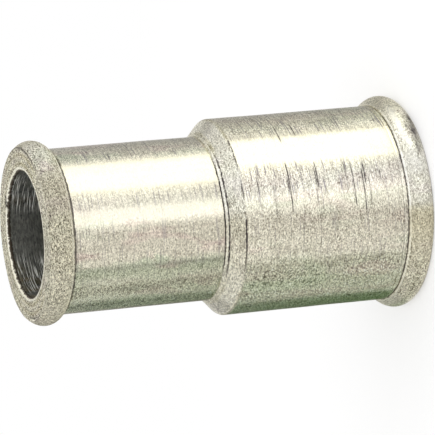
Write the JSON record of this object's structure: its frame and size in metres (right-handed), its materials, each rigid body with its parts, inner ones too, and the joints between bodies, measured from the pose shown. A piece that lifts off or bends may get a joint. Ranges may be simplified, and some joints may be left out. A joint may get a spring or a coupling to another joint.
{
  "type": "reducing hose splicer",
  "caption": "Turned steel tube that joins a larger hose to a smaller one, with a rounded bead at each end, a conical shoulder between the tubes and a bore from end to end.",
  "frame": {"origin": "centre of the large end's flat face, on the bore's axis", "axes": "+Z along the bore's axis from the large end to the small end; X and Y are any two directions across it, because the part is round"},
  "size_m": [0.0208, 0.0208, 0.038],
  "materials": {
    "plated_steel": "turned steel with a pale zinc plating, satin with fine marks around the axis"
  },
  "bodies": {
    "root": {"splicer_body": "plated_steel"}
  },
  "joints": []
}
